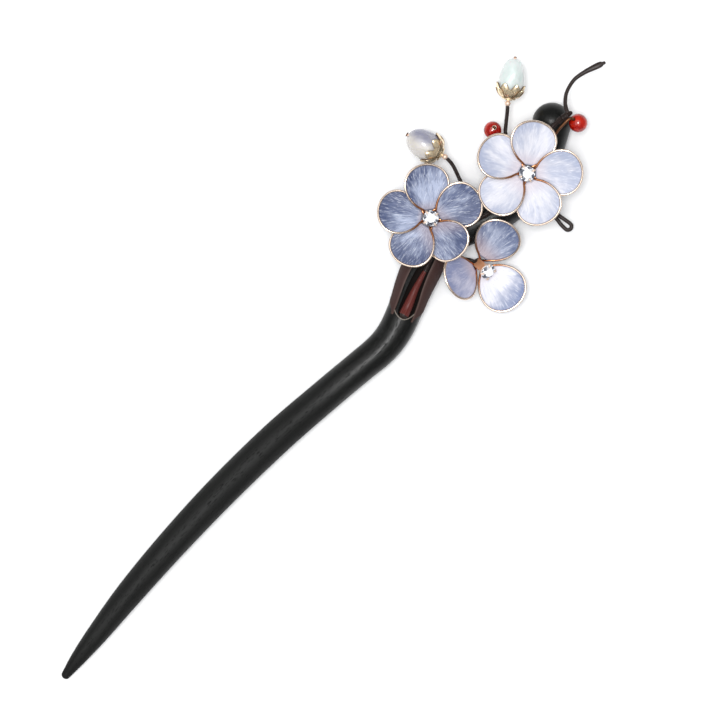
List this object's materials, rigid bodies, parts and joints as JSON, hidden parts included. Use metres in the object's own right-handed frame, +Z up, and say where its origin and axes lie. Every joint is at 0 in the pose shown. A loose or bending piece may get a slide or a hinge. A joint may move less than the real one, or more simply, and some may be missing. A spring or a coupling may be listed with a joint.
{
  "type": "decorative hair pin",
  "caption": "Dark wood hair pin with a tapering shaft, a crooked neck and a spray of wired petal flowers, drop-bead buds and round beads.",
  "frame": {"origin": "middle of the pin's footprint as it lies flat, on the surface it lies on", "axes": "+X from the tip to the knob, +Z up from the table towards the flowers' faces"},
  "size_m": [0.1974, 0.0472, 0.0156],
  "materials": {
    "dark_wood": "oiled satin, fine open pores along the grain",
    "brown_wrap": "matte",
    "red_thread": "glossy wound thread",
    "dark_thread": "waxed thread wound round wire",
    "rose_gold": "polished rose-gold plating, paler on the outer bends",
    "slate_blue_resin": "glossy translucent film with radiating silky fibres",
    "lavender_resin": "glossy translucent film with radiating silky fibres",
    "pale_blue_resin": "glossy translucent film with radiating silky fibres",
    "clear_stone": "faceted and clear, foil backed",
    "grey_chalcedony": "polished, milky",
    "pale_green_jade": "polished, milky",
    "pale_gold": "polished",
    "red_carnelian": "polished",
    "copper_wire": "brown varnished"
  },
  "bodies": {
    "pin": {"wood_pin": "dark_wood", "neck_sleeve": "brown_wrap", "bound_stem_ends": "red_thread", "main_stem": "dark_thread", "junction_wrap": "dark_thread", "tendril": "dark_thread", "tassel_loop": "dark_thread", "flower_a_stem": "dark_thread", "flower_b_stem": "dark_thread", "flower_c_stem": "dark_thread", "flower_a_setting": "rose_gold", "flower_b_setting": "rose_gold", "flower_c_setting": "rose_gold", "flower_a_stone": "clear_stone", "flower_b_stone": "clear_stone", "flower_c_stone": "clear_stone", "flower_a_wire_1": "rose_gold", "flower_a_wire_2": "rose_gold", "flower_a_wire_3": "rose_gold", "flower_a_wire_4": "rose_gold", "flower_a_wire_5": "rose_gold", "flower_b_wire_1": "rose_gold", "flower_b_wire_2": "rose_gold", "flower_b_wire_3": "rose_gold", "flower_b_wire_4": "rose_gold", "flower_b_wire_5": "rose_gold", "flower_c_wire_1": "rose_gold", "flower_c_wire_2": "rose_gold", "flower_c_wire_3": "rose_gold", "flower_a_fill_1": "slate_blue_resin", "flower_a_fill_2": "slate_blue_resin", "flower_a_fill_3": "slate_blue_resin", "flower_a_fill_4": "slate_blue_resin", "flower_a_fill_5": "slate_blue_resin", "flower_b_fill_1": "lavender_resin", "flower_b_fill_2": "lavender_resin", "flower_b_fill_3": "lavender_resin", "flower_b_fill_4": "lavender_resin", "flower_b_fill_5": "lavender_resin", "flower_c_fill_1": "pale_blue_resin", "flower_c_fill_2": "pale_blue_resin", "flower_c_fill_3": "pale_blue_resin", "bud_1_headpin": "pale_gold", "bud_2_headpin": "pale_gold", "bud_1_stem": "dark_thread", "bud_2_stem": "dark_thread", "red_bead_1_wire": "copper_wire", "red_bead_2_wire": "copper_wire"},
    "bud_1_head": {"bud_1_bead": "grey_chalcedony", "bud_1_cap": "pale_gold"},
    "bud_2_head": {"bud_2_bead": "pale_green_jade", "bud_2_cap": "pale_gold"},
    "red_bead_1": {"red_bead_1": "red_carnelian"},
    "red_bead_2": {"red_bead_2": "red_carnelian"}
  },
  "joints": [
    {"name": "bud_1_spin", "type": "hinge", "parent": "pin", "child": "bud_1_head", "pos_m": [0.0566, 0.0129, 0.0076], "axis": [-0.1732, 0.9824, 0.0698], "continuous": true},
    {"name": "bud_2_spin", "type": "hinge", "parent": "pin", "child": "bud_2_head", "pos_m": [0.0761, 0.0097, 0.0078], "axis": [0.8551, 0.5138, 0.0698], "continuous": true},
    {"name": "red_bead_1_spin", "type": "hinge", "parent": "pin", "child": "red_bead_1", "pos_m": [0.06885, 0.0083, 0.0082], "axis": [0.2588, 0.0299, 0.9655], "continuous": true},
    {"name": "red_bead_2_spin", "type": "hinge", "parent": "pin", "child": "red_bead_2", "pos_m": [0.0834, -0.00625, 0.00885], "axis": [0.0598, -0.6381, -0.7677], "continuous": true}
  ]
}
